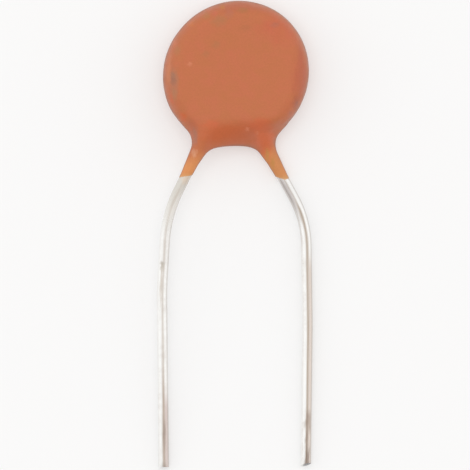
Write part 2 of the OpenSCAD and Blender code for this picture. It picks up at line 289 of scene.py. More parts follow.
class Graph:
    """Adds and joins the nodes of one node tree."""

    def __init__(self, tree: NodeTree) -> None:
        """Takes a tree and empties it."""
        self.tree = tree
        tree.nodes.clear()

    def feed(self, node: Node, inputs: dict[Any, Any]) -> None:
        """Feeds a node's inputs from other sockets, or sets their own values.

        Args:
            node: The node.
            inputs: Sockets or values, by the inputs' names or numbers.
        """
        for key, value in inputs.items():
            if isinstance(value, NodeSocket):
                self.tree.links.new(value, node.inputs[key])
            else:
                node.inputs[key].default_value = value

    def node(self, kind: str, inputs: dict[Any, Any] | None = None, **settings: Any) -> Any:
        """Adds a node.

        Args:
            kind: The node's type.
            inputs: Sockets or values for its inputs, by name or number.
            **settings: The node's own settings.

        Returns:
            The new node.
        """
        made = self.tree.nodes.new(kind)
        for key, value in settings.items():
            setattr(made, key, value)
        self.feed(made, inputs or {})
        return made

    def math(self, operation: str, first: Any, second: Any = 0.0) -> NodeSocket:
        """Joins two values by a Math node, and gives its result."""
        inputs = {0: first, 1: second}
        return self.node("ShaderNodeMath", inputs, operation=operation).outputs[0]

    def vector(self, operation: str, first: Any, second: Any = ORIGIN) -> Any:
        """Joins two vectors by a Vector Math node, and gives its outputs: a vector and a value."""
        inputs = {0: first, 1: second}
        return self.node("ShaderNodeVectorMath", inputs, operation=operation).outputs

    def split(self, place: Any) -> Any:
        """Gives the X, Y and Z of a vector."""
        return self.node("ShaderNodeSeparateXYZ", {0: place}).outputs

    def attribute(self, name: str) -> Any:
        """Reads an attribute of the mesh, and gives its outputs."""
        return self.node("ShaderNodeAttribute", attribute_name=name).outputs

    def own_place(self) -> NodeSocket:
        """Gives the object's own coordinates in millimetres."""
        own = self.node("ShaderNodeTexCoord").outputs["Object"]
        return self.vector("MULTIPLY", own, (1 / MM, 1 / MM, 1 / MM))[0]

    def blend(self, share: Any, first: Any, second: Any) -> NodeSocket:
        """Mixes two colours.

        Args:
            share: How much of the second colour shows.
            first: The first colour or socket.
            second: The second colour or socket.

        Returns:
            The mixed colour.
        """
        ends = [(*c, 1.0) if isinstance(c, tuple) else c for c in (first, second)]
        inputs = {0: share, 6: ends[0], 7: ends[1]}
        return self.node("ShaderNodeMix", inputs, data_type="RGBA").outputs[2]

    def lay(self, under: Any, over: Any, mask: Any, strength: Any) -> NodeSocket:
        """Lays one colour over another, by a mask times a strength."""
        return self.blend(self.math("MULTIPLY", mask, strength), under, over)

    def span(self, value: Any, low: Any, high: Any, bottom: float = 0.0,
             top: float = 1.0) -> NodeSocket:
        """Maps a value smoothly from one range to another.

        Args:
            value: The value or socket.
            low: Where the range starts.
            high: Where it ends.
            bottom: The result at low.
            top: The result at high.

        Returns:
            The mapped value.
        """
        made = self.node("ShaderNodeMapRange", {
            "Value": value, "From Min": low, "From Max": high, "To Min": bottom, "To Max": top,
        }, interpolation_type="SMOOTHSTEP")
        return made.outputs["Result"]

    def noise(self, place: Any, scale: Any, detail: Any) -> NodeSocket:
        """Adds a noise from 0 to 1, whose patches are smaller the larger the scale."""
        inputs = {"Vector": place, "Scale": scale, "Detail": detail, "Roughness": NOISE_ROUGHNESS}
        return self.node("ShaderNodeTexNoise", inputs).outputs["Fac"]

    def part_tones(self, noise: Any, softness: Any) -> NodeSocket:
        """Parts a noise into two tones.

        Args:
            noise: The noise, from 0 to 1.
            softness: The share of its range over which one tone gives way to the other.

        Returns:
            A mask, 0 in one tone and 1 in the other.
        """
        half = self.math("MULTIPLY", softness, 0.5)
        return self.span(noise, self.math("SUBTRACT", 0.5, half), self.math("ADD", 0.5, half))

    def use(self, effect: Effect, inputs: dict[str, Any]) -> Any:
        """Places a shared node group with its own values, and gives its outputs."""
        return self.node("ShaderNodeGroup", inputs, node_tree=shared(effect)).outputs

    def patches(self, place: Any, kind: Patches) -> NodeSocket:
        """Gives the mask of some patches."""
        values = {"Place": place, "Size": kind.size, "Detail": kind.detail, "Softness": kind.softness}
        return self.use(Effect.MOTTLE, values)["Mask"]

    def streaks(self, place: Any, kind: Streaks) -> Any:
        """Gives the mask and the height of some streaks."""
        values = {"Place": place, "Width": kind.width, "Length": kind.length, "Softness": kind.softness}
        return self.use(Effect.STREAK, values)

    def lay_marks_and_painted_light(self, place: Any, colour: Any, marks_and_painted_light: tuple[MarkOrPaintedLight, ...]) -> Any:
        """Lays marks and painted light over a colour.

        Args:
            place: The coordinates in millimetres.
            colour: The colour under them.
            marks_and_painted_light: The marks and the spots of painted light, from the lowest up.

        Returns:
            The colour with them laid over it.
        """
        for mark in marks_and_painted_light:
            spot = self.use(Effect.SPOT, {
                "Place": place, "Centre": mark.centre, "Reach": mark.reach, "Ragged": mark.ragged,
            })["Mask"]
            colour = self.lay(colour, mark.colour, spot, mark.strength)
        return colour

    def bump(self, height: Any, depth: float) -> NodeSocket:
        """Turns a height, where 1 is a depth in millimetres, into a normal."""
        inputs = {"Height": height, "Strength": 1.0, "Distance": depth * MM}
        return self.node("ShaderNodeBump", inputs).outputs["Normal"]


def new_group(effect: Effect, inputs: dict[str, Any], outputs: list[str]) -> tuple[Graph, Any]:
    """Starts a shader node group with named sockets.

    Args:
        effect: Which group it is.
        inputs: Each input's default by name: a number or three of them.
        outputs: The names of its outputs, which are plain values.

    Returns:
        The group's graph, and the sockets that give its inputs.
    """
    graph = Graph(bpy.data.node_groups.new(effect.value, "ShaderNodeTree"))
    for name, default in inputs.items():
        kind = Socket.VECTOR if isinstance(default, tuple) else Socket.VALUE
        socket = graph.tree.interface.new_socket(name, in_out="INPUT", socket_type=kind.value)
        socket.default_value = default
    for name in outputs:
        graph.tree.interface.new_socket(name, in_out="OUTPUT", socket_type=Socket.VALUE.value)
    return graph, graph.node("NodeGroupInput").outputs


def mottle_group() -> NodeTree:
    """Builds soft patches of a given size, as a mask from 0 to 1.

    Returns:
        The node group.
    """
    graph, given = new_group(Effect.MOTTLE, {
        "Place": ORIGIN, "Size": 1.0, "Detail": PLAIN_DETAIL, "Softness": 0.5,
    }, ["Mask"])
    scale = graph.math("DIVIDE", 1.0, given["Size"])
    noise = graph.noise(given["Place"], scale, given["Detail"])
    graph.node("NodeGroupOutput", {"Mask": graph.part_tones(noise, given["Softness"])})
    return graph.tree


def spot_group() -> NodeTree:
    """Builds one soft spot around a point, with ragged edges, as a mask from 0 to 1.

    Returns:
        The node group.
    """
    graph, given = new_group(Effect.SPOT, {
        "Place": ORIGIN, "Centre": ORIGIN, "Reach": (1.0, 1.0, 1.0), "Ragged": 0.3,
    }, ["Mask"])
    away = graph.vector("SUBTRACT", given["Place"], given["Centre"])[0]
    share = graph.vector("DIVIDE", away, given["Reach"])[0]
    far = graph.vector("LENGTH", share)["Value"]
    rough = graph.math("SUBTRACT", graph.noise(share, RAG_SCALE, PLAIN_DETAIL), 0.5)
    rag = graph.math("MULTIPLY", rough, graph.math("MULTIPLY", given["Ragged"], RAG_GAIN))
    mask = graph.span(graph.math("ADD", far, rag), SPOT_CORE, 1.0, 1.0, 0.0)
    graph.node("NodeGroupOutput", {"Mask": mask})
    return graph.tree


def streak_group() -> NodeTree:
    """Builds streaks that run along Y, as a mask from 0 to 1 and a height from -1 to 1.

    Returns:
        The node group.
    """
    graph, given = new_group(Effect.STREAK, {
        "Place": ORIGIN, "Width": 0.1, "Length": 3.0, "Softness": 0.5,
    }, ["Mask", "Height"])
    across = graph.math("DIVIDE", 1.0, given["Width"])
    along = graph.math("DIVIDE", 1.0, given["Length"])
    factors = graph.node("ShaderNodeCombineXYZ", {0: across, 1: along, 2: across}).outputs[0]
    drawn = graph.vector("MULTIPLY", given["Place"], factors)[0]
    noise = graph.noise(drawn, 1.0, PLAIN_DETAIL)
    graph.node("NodeGroupOutput", {
        "Mask": graph.part_tones(noise, given["Softness"]),
        "Height": graph.math("MULTIPLY", graph.math("SUBTRACT", noise, 0.5), 2.0),
    })
    return graph.tree


def shared(effect: Effect) -> NodeTree:
    """Gives a shared node group, and builds it when it is first asked for."""
    makers = {Effect.MOTTLE: mottle_group, Effect.SPOT: spot_group, Effect.STREAK: streak_group}
    return bpy.data.node_groups.get(effect.value) or makers[effect]()


# ---- Finishes ----


@dataclass(frozen=True)
class Finish:
    """What every finish has: a name, and a shader with its plain values."""

    name: str
    metallic: float = 0.0
    ior: float = 1.5

    def start(self) -> tuple[Graph, Node, Material]:
        """Makes an empty material with a Principled shader.

        Returns:
            The material's graph, the shader node and the material.
        """
        material = bpy.data.materials.new(self.name)
        material.use_nodes = True
        graph = Graph(material.node_tree)
        inputs = {"Metallic": self.metallic, "IOR": self.ior}
        shader = graph.node("ShaderNodeBsdfPrincipled", inputs)
        graph.node("ShaderNodeOutputMaterial", {"Surface": shader.outputs[0]})
        return graph, shader, material


@dataclass(frozen=True)
class CoatFinish(Finish):
    """The dipped phenolic coat, which thins to a clear ochre film at the ends of its legs.

    Heights are along Y in millimetres, and each change runs from a "from" down to a "to". Where
    the coat is thick, the painted shade on its upright edge starts at the second slope, and where
    it is thin, at the first.
    """

    ior: float = 1.42
    body: Colour = shown(190, 108, 68)
    pink: Colour = shown(198, 104, 75)
    pink_patches: Patches = Patches(0.8)
    pink_strength: float = 0.4
    olive: Colour = shown(184, 113, 66)
    olive_patches: Patches = Patches(0.5)
    olive_shift: Place = (7.0, 3.0, 0.0)
    olive_strength: float = 0.3
    grain: Patches = Patches(0.09, 3.0, 0.8)
    grain_tone: Range = (0.965, 1.035)
    peel: Patches = Patches(0.22, 3.0, 0.9)
    peel_depth: float = 0.0035
    rough: Range = (0.4, 0.52)
    leg: Colour = shown(216, 142, 86)
    leg_from: float = -3.75
    leg_to: float = -4.75
    film: Colour = shown(210, 162, 108)
    film_from: float = -5.0
    film_to: float = -5.4
    waver: float = 0.15
    # Painted shade on the coat's upright sides, which turn away from the light.
    edge: Colour = shown(158, 102, 76)
    edge_shade_strength: float = 0.6
    edge_slopes: Range = (0.42, 0.6)
    edge_blend: float = 0.25
    thin_from: float = -3.1
    thin_to: float = -3.7
    marks_and_painted_light: tuple[MarkOrPaintedLight, ...] = ()

    def material(self) -> Material:
        """Builds the coat's material.

        Returns:
            The material.
        """
        graph, shader, material = self.start()
        place = graph.own_place()
        patches = graph.patches(place, self.pink_patches)
        moved = graph.vector("ADD", place, self.olive_shift)[0]
        clouds = graph.patches(moved, self.olive_patches)
        colour = graph.lay(self.body, self.pink, patches, self.pink_strength)
        colour = graph.lay(colour, self.olive, clouds, self.olive_strength)
        colour = self.paint_legs(graph, place, colour, patches)
        colour = graph.lay_marks_and_painted_light(place, colour, self.marks_and_painted_light)
        colour = self.paint_edge_shade(graph, place, colour)
        tone = graph.span(graph.patches(place, self.grain), 0.0, 1.0, *self.grain_tone)
        toned = graph.node("ShaderNodeHueSaturation", {"Value": tone, "Color": colour})
        graph.feed(shader, {
            "Base Color": toned.outputs["Color"],
            "Roughness": graph.span(clouds, 0.0, 1.0, *self.rough),
            "Normal": graph.bump(graph.patches(place, self.peel), self.peel_depth),
        })
        return material

    def paint_edge_shade(self, graph: Graph, place: Any, colour: Any) -> Any:
        """Paints shade on the upright edge, and on more of it where the web and the legs are thin.

        Args:
            graph: The material's graph.
            place: The coordinates in millimetres.
            colour: The coat's colour.

        Returns:
            The colour with the painted shade on its edge.
        """
        height = graph.split(place)["Y"]
        low = graph.span(height, self.thin_to, self.thin_from, *self.edge_slopes)
        high = graph.math("ADD", low, self.edge_blend)
        # Painted shade, strongest where the skin stands upright.
        edge = graph.span(graph.attribute("steep")["Fac"], low, high, 0.0, self.edge_shade_strength)
        return graph.blend(edge, colour, self.edge)

    def paint_legs(self, graph: Graph, place: Any, colour: Any, patches: Any) -> Any:
        """Lightens the coat down its legs, and then to the film at their ends.

        Args:
            graph: The material's graph.
            place: The coordinates in millimetres.
            colour: The coat's colour.
            patches: A mask that makes the change uneven.

        Returns:
            The colour with its legs.
        """
        wavering = graph.math("MULTIPLY", patches, self.waver)
        uneven = graph.math("ADD", graph.split(place)["Y"], wavering)
        leg = graph.span(uneven, self.leg_to, self.leg_from, 1.0, 0.0)
        film = graph.span(uneven, self.film_to, self.film_from, 1.0, 0.0)
        return graph.blend(film, graph.blend(leg, colour, self.leg), self.film)


@dataclass(frozen=True)
class TinFinish(Finish):
    """Bright dipped tin on drawn wire, laid out as if the wire were straight above its tip.

    Places across and along the wire are in millimetres. A darker streak of painted reflection
    starts at streak_start across the wire, moves over to streak_at between the two places of
    streak_move, and deepens from streak_from to streak_to. A warm painted reflection lies along
    one flank from stain_from down, and is full from stain_to on, and a grey painted
    reflection lies on the rim of that flank. The tin turns matt from matt_from up to matt_to, next
    to the coat.
    """

    metallic: float = 1.0
    bright: Colour = (0.93, 0.925, 0.905)
    worn: Colour = (0.80, 0.76, 0.72)
    wear: float = 0.6
    fine: Streaks = Streaks(0.06, 2.0)
    broad: Streaks = Streaks(0.25, 4.0, 0.4)
    fine_height: float = 0.3
    depth: float = 0.006
    clouds: Patches = Patches(0.45, 3.0)
    rough: Range = (0.14, 0.26)
    waver: float = 0.03
    # Painted reflection: a darker streak along the wire near its crown.
    dull: Colour = shown(200, 187, 176)
    streak_start: float = -0.02
    streak_at: float = 0.02
    streak_move: Range = (-9.5, -7.5)
    streak_core: float = 0.02
    streak_half: float = 0.125
    streak_from: float = -13.5
    streak_to: float = -17.4
    streak_least: float = 0.32
    streak_most: float = 0.9
    # Painted reflection: a warm tone along one flank of the wire.
    stain: Colour = shown(212, 196, 190)
    stain_flank: Range = (-0.06, 0.06)
    stain_from: float = -15.9
    stain_to: float = -17.5
    stain_strength: float = 0.9
    # Painted reflection: a grey rim where the wire's flank reflects the shaded floor beside it.
    rim_reflection: Colour = shown(196, 190, 184)
    rim_reflection_across: Range = (0.19, 0.26)
    rim_reflection_strength: float = 0.7
    matt_from: float = -5.4
    matt_to: float = -4.9
    matt_metal: float = 0.25
    shift: Place = ORIGIN
    marks_and_painted_light: tuple[MarkOrPaintedLight, ...] = ()

    def material(self) -> Material:
        """Builds the wire's material.

        Returns:
            The material.
        """
        graph, shader, material = self.start()
        laid = graph.attribute("straight")["Vector"]
        place = graph.vector("ADD", laid, self.shift)[0]
        fine, broad = graph.streaks(place, self.fine), graph.streaks(place, self.broad)
        clouds = graph.patches(place, self.clouds)
        rubbed = graph.math("MULTIPLY", broad["Mask"], clouds)
        colour = graph.lay(self.bright, self.worn, rubbed, self.wear)
        colour = self.paint_reflections(graph, laid, colour, broad["Height"])
        slight = graph.math("MULTIPLY", fine["Height"], self.fine_height)
        along = graph.split(laid)["Y"]
        graph.feed(shader, {
            "Base Color": graph.lay_marks_and_painted_light(laid, colour, self.marks_and_painted_light),
            "Roughness": graph.span(clouds, 0.0, 1.0, *self.rough),
            "Metallic": graph.span(along, self.matt_from, self.matt_to, self.metallic,
                                   self.matt_metal),
            "Normal": graph.bump(graph.math("ADD", slight, broad["Height"]), self.depth),
        })
        return material

    def paint_reflections(self, graph: Graph, laid: Any, colour: Any, uneven: Any) -> Any:
        """Lays painted reflections along the wire: a warm flank, a grey rim and a darker streak.

        Args:
            graph: The material's graph.
            laid: The straight wire's coordinates in millimetres.
            colour: The colour under them.
            uneven: A value from -1 to 1 that makes their edges waver.

        Returns:
            The colour with all three.
        """
        parts = graph.split(laid)
        across = graph.math("ADD", parts["X"], graph.math("MULTIPLY", uneven, self.waver))
        # Painted reflection: a warm tone along the wire's right flank.
        flank = graph.span(across, *self.stain_flank)
        reach = graph.span(parts["Y"], self.stain_to, self.stain_from, self.stain_strength, 0.0)
        colour = graph.lay(colour, self.stain, flank, reach)
        # Painted reflection: a grey rim on the outer edge of that flank.
        rim_reflection = graph.span(parts["X"], *self.rim_reflection_across, 0.0, self.rim_reflection_strength)
        colour = graph.blend(rim_reflection, colour, self.rim_reflection)
        # Painted reflection: a darker streak near the crown of the wire.
        middle = graph.span(parts["Y"], *self.streak_move, self.streak_at, self.streak_start)
        off = graph.math("ABSOLUTE", graph.math("SUBTRACT", across, middle))
        line = graph.span(off, self.streak_core, self.streak_half, 1.0, 0.0)
        deep = graph.span(parts["Y"], self.streak_to, self.streak_from, self.streak_most,
                          self.streak_least)
        return graph.lay(colour, self.dull, line, deep)


@dataclass(frozen=True, kw_only=True)
class PlainFinish(Finish):
    """A finish of two tones in soft patches, with a fine grain: ceramic, silver, solder, core."""

    light: Colour
    dark: Colour
    rough: Range
    grain_size: float
    grain_detail: float = 3.0
    grain_softness: float = 0.8
    grain_depth: float = 0.002
    patch: float = 0.6
    marks_and_painted_light: tuple[MarkOrPaintedLight, ...] = ()

    def material(self) -> Material:
        """Builds the material.

        Returns:
            The material.
        """
        graph, shader, material = self.start()
        place = graph.own_place()
        patches = graph.patches(place, Patches(self.patch))
        colour = graph.blend(patches, self.light, self.dark)
        grain = Patches(self.grain_size, self.grain_detail, self.grain_softness)
        graph.feed(shader, {
            "Base Color": graph.lay_marks_and_painted_light(place, colour, self.marks_and_painted_light),
            "Roughness": graph.span(patches, 0.0, 1.0, *self.rough),
            "Normal": graph.bump(graph.patches(place, grain), self.grain_depth),
        })
        return material


# ---- The leads ----


@dataclass
class Lead:
    """One tinned wire: level on its electrode, slanted out to its pitch, then down to its tip.

    Lengths are in metres and the cut's angles in degrees. The wire's corners follow the same
    sizes as its solid.
    """

    side: Side
    face: Face
    node: str
    aim_drop: float
    shoulder_gap: float
    shoulder_in: float
    shoulder_r: float
    kink_gap: float
    kink_in: float
    tip_in: float
    cut_slant: float
    cut_tilt: float
    tip_round: float
    nicks: list[Press] = field(default_factory=list)
    pitch: float = 7.5 * MM
    wire_r: float = 0.2725 * MM
    disc_r: float = 3.8 * MM
    ceramic_r: float = 3.1 * MM
    lead_length: float = 16.6 * MM
    seat_drop: float = 0.9 * MM
    level_gap: float = 0.25 * MM
    level_r: float = 2.0 * MM
    kink_r: float = 18.0 * MM
    wire_height: float = 0.835 * MM
    mid_z: float = 1.35 * MM
    ring_step: float = 0.12 * MM
    turn_step: float = math.radians(1.0)
    around: int = 48
    tip_run: float = 0.45 * MM
    tip_segments: int = 3
    crease: float = 35.0
    face_match: float = 0.97
    rings: list[tuple[Vector, Vector, float]] = field(default_factory=list)
    index: KDTree | None = None
    piece: Object | None = None

    def point(self, inset: float, drop: float) -> Vector:
        """Gives a corner of the wire's line.

        Args:
            inset: How far it stands inside its half of the pitch.
            drop: How far it lies below the disc's centre.

        Returns:
            The corner, at the height that the falling wire has there.
        """
        return Vector((self.side.value * (self.pitch / 2 - inset), -drop, self.height(drop)))

    def splay(self) -> float:
        """Gives the turn of the slanted stretch from straight down, in radians."""
        drop = self.disc_r + self.shoulder_gap - self.aim_drop
        return math.atan2(self.pitch / 2 - self.shoulder_in, drop)

    def on_slant(self, along: float) -> Vector:
        """Gives a point of the slanted line at no height.

        Args:
            along: Its distance along the line from where that crosses the disc's middle.

        Returns:
            The point.
        """
        turn = self.splay()
        across = self.side.value * math.sin(turn) * along
        return Vector((across, -self.aim_drop - math.cos(turn) * along, 0.0))

    def slant_at(self, drop: float) -> Vector:
        """Gives the point of the slanted line at a drop, at the wire's height there."""
        flat = self.on_slant((drop - self.aim_drop) / math.cos(self.splay()))
        return Vector((flat.x, flat.y, self.height(drop)))

    def level_along(self) -> float:
        """Gives the distance along the slanted line at which the wire starts to fall.

        Returns:
            The distance from where the line crosses the disc's middle.
        """
        turn = self.splay()
        foot, away = self.aim_drop * math.cos(turn), self.aim_drop * math.sin(turn)
        return math.sqrt(self.ceramic_r ** 2 - away ** 2) - foot + self.level_gap

    def height(self, drop: float) -> float:
        """Gives the height of the wire's line, which is level at first and then falls evenly.

        Args:
            drop: How far below the disc's centre.

        Returns:
            The height there.
        """
        seat = self.mid_z + self.face.value * self.wire_height
        start = -self.on_slant(self.level_along()).y
        share = max(0.0, (drop - start) / (self.disc_r + self.lead_length - start))
        return seat + (self.wire_r - seat) * share

    def corners(self) -> list[Vector]:
        """Works out the corners of the wire's line.

        Returns:
            The corners, from its inner end to its tip.
        """
        return [
            self.slant_at(self.seat_drop),
            self.slant_at(-self.on_slant(self.level_along()).y),
            self.point(self.shoulder_in, self.disc_r + self.shoulder_gap),
            self.point(self.kink_in, self.disc_r + self.kink_gap),
            self.point(self.tip_in, self.disc_r + self.lead_length),
        ]

    def note_ring(self, centre: Vector, ahead: Vector) -> None:
        """Remembers a ring of the wire, with its distance along the wire."""
        run = self.rings[-1][2] + (centre - self.rings[-1][0]).length if self.rings else 0.0
        self.rings.append((centre.copy(), ahead.copy(), run))

    def draw_straight(self, start: Vector, end: Vector, steps: int = 0) -> None:
        """Extrudes the open end of the wire along a straight stretch.

        Args:
            start: Where the stretch starts.
            end: Where it ends.
            steps: The number of rings, or 0 to space them by ring_step.
        """
        steps = steps or max(1, round((end - start).length / self.ring_step))
        step = (end - start) / steps
        for number in range(steps):
            bpy.ops.mesh.extrude_region_move(TRANSFORM_OT_translate={"value": step})
            self.note_ring(start + step * (number + 1), step.normalized())

    def draw_bend(self, before: Vector, corner: Vector, after: Vector, radius: float) -> Vector:
        """Spins the open end of the wire round a bend.

        Args:
            before: The corner before the bend.
            corner: The bend's own corner.
            after: The corner after it.
            radius: The bend's radius at the wire's line.

        Returns:
            Where the bend ends.
        """
        ahead, onward = (corner - before).normalized(), (after - corner).normalized()
        turn = ahead.angle(onward)
        axis = ahead.cross(onward).normalized()
        start = corner - ahead * radius * math.tan(turn / 2)
        centre = start + axis.cross(ahead) * radius
        steps = max(2, math.ceil(turn / self.turn_step))
        bpy.ops.mesh.spin(steps=steps, dupli=False, angle=-turn, center=centre, axis=axis)
        for number in range(1, steps + 1):
            part = turn * number / steps
            arm = (start - centre) * math.cos(part) + ahead * radius * math.sin(part)
            self.note_ring(centre + arm, axis.cross(arm).normalized())
        return self.rings[-1][0]

    def build(self) -> Object:
        """Models the wire from its inner end to its cut tip.

        Returns:
            The wire's mesh object.
        """
        corners = self.corners()
        ahead = (corners[1] - corners[0]).normalized()
        deselect_all()
        bpy.ops.mesh.primitive_circle_add(
            vertices=self.around, radius=self.wire_r, location=corners[0],
            rotation=ahead.to_track_quat("Z", "Y").to_euler(),
        )
        self.piece = bpy.context.object
        self.piece.name = self.node + "_wire"
        bpy.ops.object.transform_apply(location=True, rotation=True, scale=True)
        self.note_ring(corners[0], ahead)
        bpy.ops.object.mode_set(mode="EDIT")
        bpy.ops.mesh.select_all(action="SELECT")
        at = corners[0]
        for number, radius in enumerate((self.level_r, self.shoulder_r, self.kink_r), start=1):
            before, corner, after = corners[number - 1:number + 2]
            onward = (corner - before).normalized()
            take = radius * math.tan(onward.angle(after - corner) / 2)
            self.draw_straight(at, corner - onward * take)
            at = self.draw_bend(before, corner, after, radius)
        last = corners[-1] - (corners[-1] - corners[-2]).normalized() * self.tip_run
        self.draw_straight(at, last)
        self.draw_straight(last, corners[-1], steps=1)
        close_openings()
        close_edit()
        self.index_rings()
        self.lay_straight()
        self.cut_tip(corners[-1])
        for nick in self.nicks:
            nick.apply(self.piece)
        smooth_by_angle(self.piece, self.crease)
        return self.piece

    def index_rings(self) -> None:
        """Readies the search for the ring nearest to a point."""
        self.index = KDTree(len(self.rings))
        for number, (centre, _, _) in enumerate(self.rings):
            self.index.insert(centre, number)
        self.index.balance()

    def off_line(self, co: Vector) -> float:
        """Gives a point's distance from the wire's line.

        Args:
            co: The point.

        Returns:
            The distance.
        """
        centre, ahead, _ = self.rings[self.index.find(co)[1]]
        arm = co - centre
        along = max(-self.ring_step, min(self.ring_step, arm.dot(ahead)))
        return (arm - ahead * along).length

    def cut_normal(self) -> Vector:
        """Works out which way the cut face of the tip looks.

        Returns:
            Its normal.
        """
        aside, up = math.radians(self.cut_slant), math.radians(self.cut_tilt)
        across = self.side.value * math.sin(aside) * math.cos(up)
        return Vector((across, -math.cos(aside) * math.cos(up), math.sin(up)))

    def cut_tip(self, tip: Vector) -> None:
        """Cuts the tip at its slant and rounds the cut's edge.

        Args:
            tip: The tip's place on the wire's line.
        """
        normal = self.cut_normal()
        back = self.wire_r * (abs(normal.x) + normal.z) / -normal.y
        reach = 4 * self.wire_r
        edit(self.piece)
        pick_vertices(self.piece, lambda co: (co - tip).length < reach)
        bpy.ops.mesh.bisect(plane_co=tip + Vector((0, back, 0)), plane_no=normal, use_fill=True,
                            clear_outer=True, threshold=WELD)
        bpy.ops.mesh.bevel(offset=self.tip_round, segments=self.tip_segments, affect="EDGES",
                           clamp_overlap=True)
        close_edit()

    def lay_straight(self) -> None:
        """Writes where each point would lie, in millimetres, if the wire were straight."""
        laid = self.piece.data.attributes.new("straight", "FLOAT_VECTOR", "POINT")
        last = self.rings[-1][2] - self.disc_r - self.lead_length
        for vertex in self.piece.data.vertices:
            centre, ahead, run = self.rings[self.index.find(vertex.co)[1]]
            across = Vector((0, 0, 1)).cross(ahead).normalized()
            arm = vertex.co - centre
            laid.data[vertex.index].vector = Vector((
                arm.dot(across), last - run - arm.dot(ahead), arm.dot(ahead.cross(across)),
            )) / MM

    def dress(self, tin: Material, core: Material) -> None:
        """Gives the wire its finishes and sets it in place of its solid.

        Args:
            tin: The finish of its length.
            core: The finish of its cut end.
        """
        piece = self.piece
        piece.data.materials.clear()
        for finish in (tin, core):
            piece.data.materials.append(finish)
        normal, low = self.cut_normal(), min(v.co.y for v in piece.data.vertices)
        for polygon in piece.data.polygons:
            at_tip = polygon.center.y < low + self.wire_r
            polygon.material_index = int(at_tip and polygon.normal.dot(normal) > self.face_match)
        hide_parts(self.node)
        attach(piece, ROOT)


# ---- The coat ----


@dataclass(frozen=True)
class Leg:
    """One leg of the coat, which ends on its lead in a thin film.

    The film's edge is given by points from left to right, in millimetres, seen from above. The
    shares are of the leg's length below the disc.
    """

    lead: Lead
    run: float
    film_edge: tuple[tuple[float, float], ...]
    film: float = 0.014 * MM
    least_film: float = 0.008 * MM
    more: float = 0.35 * MM
    rod_share: float = 0.8
    cling_share: float = 0.2
    trim_share: float = 0.6

    def is_past(self, co: Vector, share: float) -> bool:
        """Tells if a point lies further down the leg than a share of its length.

        Args:
            co: The point.
            share: The share of the leg's length.

        Returns:
            Whether it lies past it, on the leg's own side of the part.
        """
        end = self.lead.slant_at(self.lead.disc_r + self.run * share)
        ahead = self.lead.on_slant(1.0) - self.lead.on_slant(0.0)
        return co.x * self.lead.side.value > 0 and (co - end).dot(ahead) > 0

    def lengthen(self) -> None:
        """Adds a rod round the lead, in edit mode, that carries the leg on past its end."""
        lead = self.lead
        start = lead.slant_at(lead.disc_r + self.run * self.rod_share)
        end = lead.slant_at(lead.disc_r + self.run)
        ahead = (end - start).normalized()
        end += ahead * self.more
        bpy.ops.mesh.primitive_cylinder_add(
            vertices=lead.around, radius=lead.wire_r + self.film, depth=(end - start).length,
            location=(start + end) / 2, rotation=ahead.to_track_quat("Z", "Y").to_euler(),
        )

    def cling(self, piece: Object) -> None:
        """Keeps the leg's skin a film's thickness off its wire.

        Args:
            piece: The coat's skin.
        """
        group = piece.vertex_groups.new(name=self.lead.node)
        near = [v.index for v in piece.data.vertices if self.is_past(v.co, self.cling_share)]
        group.add(near, 1.0, "REPLACE")
        finish_modifier(piece, "cling", "SHRINKWRAP", target=self.lead.piece,
                        wrap_method="NEAREST_SURFACEPOINT", wrap_mode="OUTSIDE",
                        offset=self.least_film, vertex_group=group.name)

    def trim(self, piece: Object) -> None:
        """Cuts the leg off along the edge of its film.

        Args:
            piece: The coat's skin.
        """
        for start, end in zip(self.film_edge, self.film_edge[1:]):
            run = Vector((end[0] - start[0], end[1] - start[1], 0))
            edit(piece)
            pick_vertices(piece, lambda co: self.is_past(co, self.trim_share))
            bpy.ops.mesh.bisect(plane_co=Vector((*start, 0)) * MM, plane_no=(run.y, -run.x, 0),
                                use_fill=True, clear_outer=True, threshold=WELD)
            close_edit()


